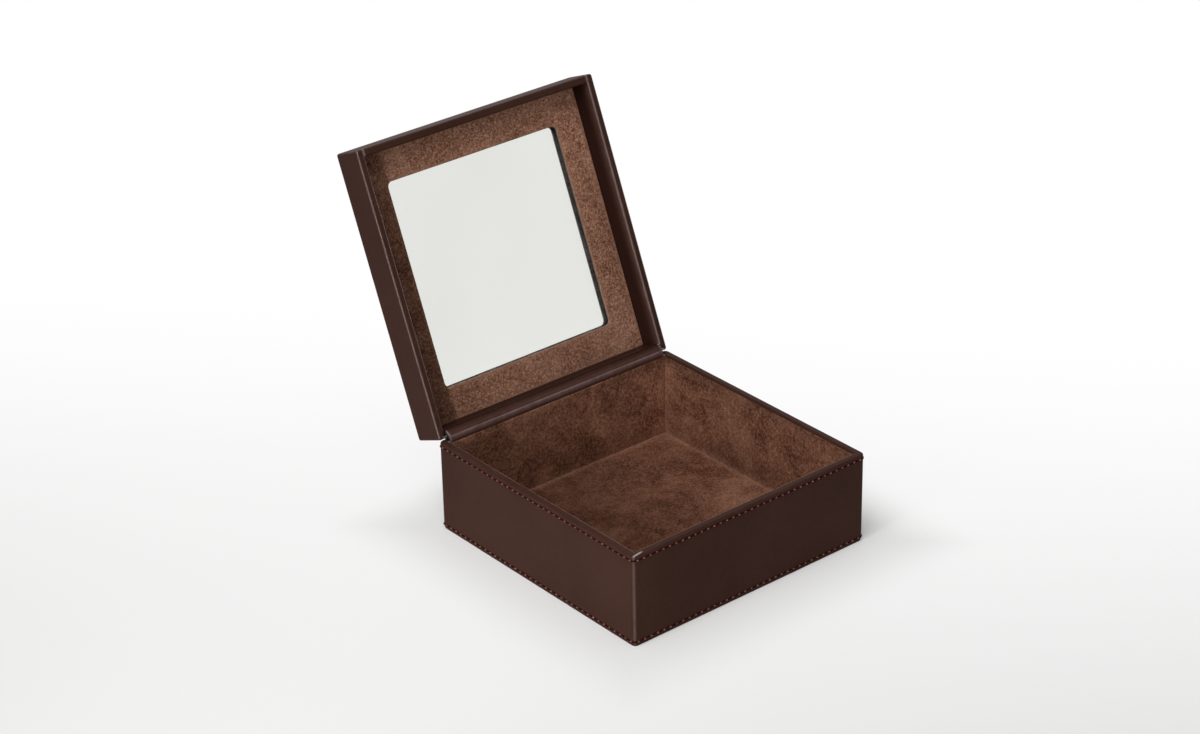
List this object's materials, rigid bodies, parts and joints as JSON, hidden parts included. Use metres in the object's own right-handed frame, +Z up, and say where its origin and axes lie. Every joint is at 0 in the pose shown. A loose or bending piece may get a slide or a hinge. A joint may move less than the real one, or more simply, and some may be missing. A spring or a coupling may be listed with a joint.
{
  "type": "leather jewellery box with mirrored lid",
  "caption": "Low square leather-covered jewellery box with a suede-lined open compartment and a hinged lid that holds a framed mirror inside.",
  "frame": {"origin": "centre of the flat underside of the base", "axes": "+X along the hinge to the right seen from the front, +Y from the front to the hinge side, +Z up"},
  "size_m": [0.15, 0.2255, 0.1881],
  "materials": {
    "smooth_leather": "smooth, semi-gloss",
    "suede": "napped suede, matt",
    "board": "raw board, matt",
    "card": "grey card, matt",
    "mirror": "silvered glass",
    "hinge_steel": "plain bright"
  },
  "bodies": {
    "base": {"base_back_board": "board", "base_back_lining": "suede", "base_bottom_board": "board", "base_filler_card": "card", "base_floor_pad": "suede", "base_front_board": "board", "base_front_lining": "suede", "base_leather_wrap": "smooth_leather", "base_left_board": "board", "base_left_lining": "suede", "base_right_board": "board", "base_right_lining": "suede", "base_underside_panel": "smooth_leather", "hinge_base_leaf": "hinge_steel", "hinge_pin": "hinge_steel"},
    "lid": {"hinge_lid_leaf": "hinge_steel", "lid_back_board": "board", "lid_filler_card": "card", "lid_front_board": "board", "lid_leather_wrap": "smooth_leather", "lid_left_board": "board", "lid_right_board": "board", "lid_suede_frame": "suede", "lid_top_board": "board", "lid_top_panel": "smooth_leather", "mirror_glass": "mirror", "mirror_surround_card": "card"},
    "spring_strip": {"hinge_spring": "hinge_steel", "hinge_spring_leather": "smooth_leather"}
  },
  "joints": [
    {"name": "lid_hinge", "type": "hinge", "parent": "base", "child": "lid", "pos_m": [0, 0.0742, 0.05085], "axis": [1, 0, 0], "range_deg": [0, 112.8]},
    {"name": "spring_strip_turn", "type": "hinge", "parent": "base", "child": "spring_strip", "pos_m": [0, 0.0742, 0.05085], "axis": [1, 0, 0], "range_deg": [0, 56.4]}
  ],
  "couplings": [
    {"joint": "spring_strip_turn", "follows": "lid_hinge", "ratio": 0.5}
  ]
}
